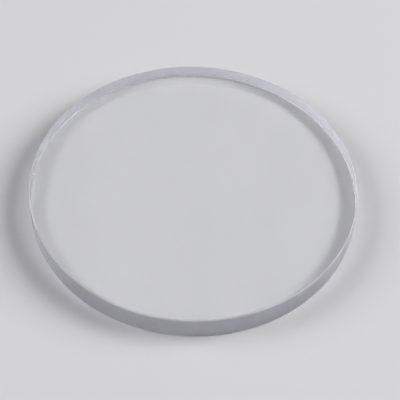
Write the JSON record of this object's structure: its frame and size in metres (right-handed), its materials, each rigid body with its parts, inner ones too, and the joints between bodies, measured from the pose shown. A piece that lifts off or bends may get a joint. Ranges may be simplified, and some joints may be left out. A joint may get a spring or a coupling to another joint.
{
  "type": "watch glass",
  "caption": "Thick flat round plate of clear glass with two polished faces and a finely ground matt rim, laid on a bench or over a vessel as a cover or work surface.",
  "frame": {"origin": "centre of the lower polished face, where the plate rests", "axes": "+Z along the plate's own axis, from the lower face to the upper face; the plate is round, so X and Y are any two square directions in its plane"},
  "size_m": [0.12, 0.12, 0.01],
  "materials": {
    "clear_glass": "colourless glass, both faces polished, rim and arrises finely ground to an even matt grey"
  },
  "bodies": {
    "root": {"glass_disc": "clear_glass"}
  },
  "joints": []
}
